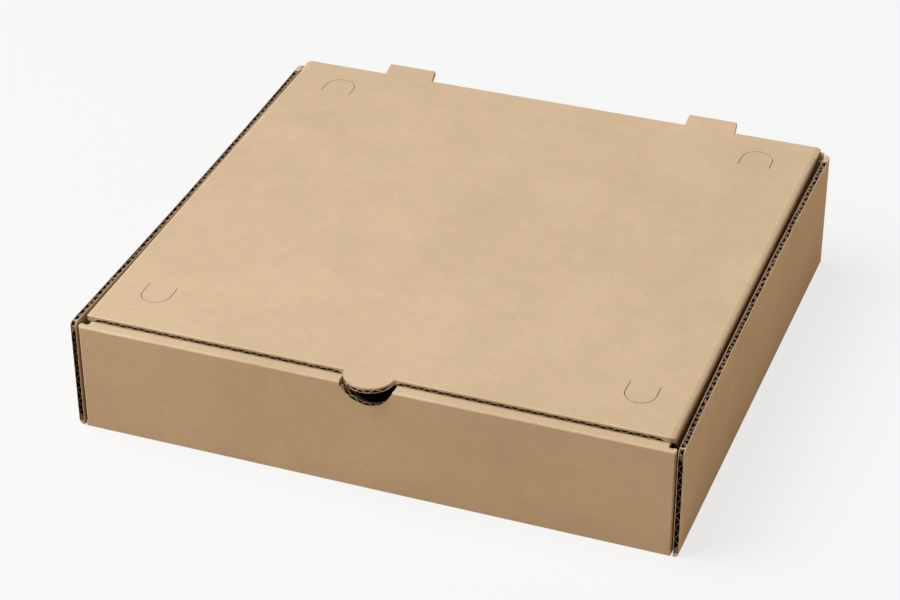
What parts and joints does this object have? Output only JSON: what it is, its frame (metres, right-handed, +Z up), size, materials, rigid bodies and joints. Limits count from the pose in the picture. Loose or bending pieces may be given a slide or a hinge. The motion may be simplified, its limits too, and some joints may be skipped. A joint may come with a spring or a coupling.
{
  "type": "pizza box",
  "caption": "Closed corrugated board pizza box with a hinged lid, a thumb notch and tab at the front, and press-in vents in the lid.",
  "frame": {"origin": "middle of the underside, on the surface the box rests on, half way between the outer faces of the front and rear walls", "axes": "+X to the right along the front wall, +Y from the front wall to the rear wall, +Z up"},
  "size_m": [0.3, 0.2841, 0.0702],
  "materials": {
    "kraft": "matte"
  },
  "bodies": {
    "tray": {"tray": "kraft"},
    "lid": {"lid": "kraft"},
    "vent_front_left": {"vent_tab_front_left": "kraft"},
    "vent_front_right": {"vent_tab_front_right": "kraft"},
    "vent_rear_left": {"vent_tab_rear_left": "kraft"},
    "vent_rear_right": {"vent_tab_rear_right": "kraft"}
  },
  "joints": [
    {"name": "lid_fold", "type": "hinge", "parent": "tray", "child": "lid", "pos_m": [0, 0.13515, 0.06595], "axis": [-1, 0, 0], "range_deg": [0, 180]},
    {"name": "vent_front_left_fold", "type": "hinge", "parent": "lid", "child": "vent_front_left", "pos_m": [-0.1205, -0.09526, 0.05779], "axis": [1, 0, 0], "range_deg": [0, 90]},
    {"name": "vent_front_right_fold", "type": "hinge", "parent": "lid", "child": "vent_front_right", "pos_m": [0.1205, -0.09526, 0.05779], "axis": [1, 0, 0], "range_deg": [0, 90]},
    {"name": "vent_rear_left_fold", "type": "hinge", "parent": "lid", "child": "vent_rear_left", "pos_m": [-0.1165, 0.1066, 0.06376], "axis": [-1, 0, 0], "range_deg": [0, 90]},
    {"name": "vent_rear_right_fold", "type": "hinge", "parent": "lid", "child": "vent_rear_right", "pos_m": [0.1165, 0.1066, 0.06376], "axis": [-1, 0, 0], "range_deg": [0, 90]}
  ]
}
